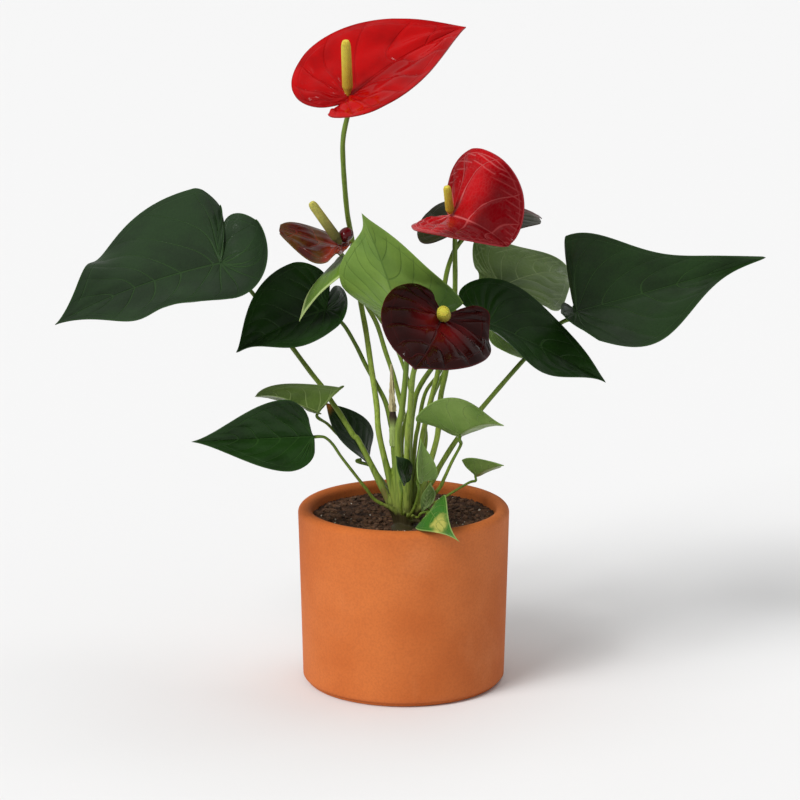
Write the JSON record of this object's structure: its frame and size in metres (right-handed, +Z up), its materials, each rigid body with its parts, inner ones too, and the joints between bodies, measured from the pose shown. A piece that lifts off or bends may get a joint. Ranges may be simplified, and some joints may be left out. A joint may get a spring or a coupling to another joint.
{
  "type": "potted anthurium",
  "caption": "Potted anthurium: long-stalked heart-shaped leaves and waxy red and burgundy flowers with beaded spadices, growing from one crown in a round terracotta pot of soil.",
  "frame": {"origin": "centre of the flat underside of the pot, on the surface it stands on", "axes": "+Z up along the pot's axis, -Y towards the side the plant is seen from, +X to the right of that view"},
  "size_m": [0.4632, 0.2634, 0.4368],
  "materials": {
    "terracotta": "matte unglazed clay",
    "soil": "loose and matte",
    "crown": "satin",
    "leaf_stem": "satin",
    "flower_stem": "satin",
    "leaf_dark": "glossy",
    "leaf_olive": "satin",
    "leaf_young": "satin",
    "spathe_red": "glossy, waxy",
    "spathe_burgundy": "glossy, waxy",
    "spathe_brown": "satin, waxy",
    "spadix_yellow": "matte, finely beaded",
    "spadix_olive": "matte, finely beaded",
    "husk": "dry and papery"
  },
  "bodies": {
    "root": {"pot": "terracotta", "soil": "soil", "crown": "crown", "old_stalk": "leaf_stem", "old_stalk_husk": "husk", "leaf_far_left_blade": "leaf_dark", "leaf_far_left_stem": "leaf_stem", "leaf_mid_left_blade": "leaf_dark", "leaf_mid_left_stem": "leaf_stem", "leaf_low_left_blade": "leaf_dark", "leaf_low_left_stem": "leaf_stem", "leaf_folded_left_blade": "leaf_olive", "leaf_folded_left_stem": "leaf_stem", "leaf_inner_left_blade": "leaf_dark", "leaf_inner_left_stem": "leaf_stem", "leaf_pale_centre_blade": "leaf_young", "leaf_pale_centre_stem": "leaf_stem", "leaf_narrow_left_blade": "leaf_young", "leaf_narrow_left_stem": "leaf_stem", "leaf_mid_right_blade": "leaf_dark", "leaf_mid_right_stem": "leaf_stem", "leaf_back_right_blade": "leaf_olive", "leaf_back_right_stem": "leaf_stem", "leaf_far_right_blade": "leaf_dark", "leaf_far_right_stem": "leaf_stem", "leaf_low_right_blade": "leaf_young", "leaf_low_right_stem": "leaf_stem", "leaf_small_right_blade": "leaf_young", "leaf_small_right_stem": "leaf_stem", "leaf_small_upright_blade": "leaf_young", "leaf_small_upright_stem": "leaf_stem", "leaf_small_dark_blade": "leaf_dark", "leaf_small_dark_stem": "leaf_stem", "leaf_variegated_blade": "leaf_young", "leaf_variegated_stem": "leaf_stem", "leaf_small_grey_blade": "leaf_olive", "leaf_small_grey_stem": "leaf_stem", "leaf_under_right_blade": "leaf_young", "leaf_under_right_stem": "leaf_stem", "flower_top_spathe": "spathe_red", "flower_top_spadix": "spadix_yellow", "flower_top_stem": "flower_stem", "flower_right_spathe": "spathe_red", "flower_right_spadix": "spadix_yellow", "flower_right_stem": "flower_stem", "flower_front_spathe": "spathe_burgundy", "flower_front_spadix": "spadix_yellow", "flower_front_stem": "flower_stem", "flower_young_spathe": "spathe_brown", "flower_young_spadix": "spadix_olive", "flower_young_stem": "flower_stem", "flower_back_spathe": "spathe_brown", "flower_back_spadix": "spadix_olive", "flower_back_stem": "flower_stem"}
  },
  "joints": []
}
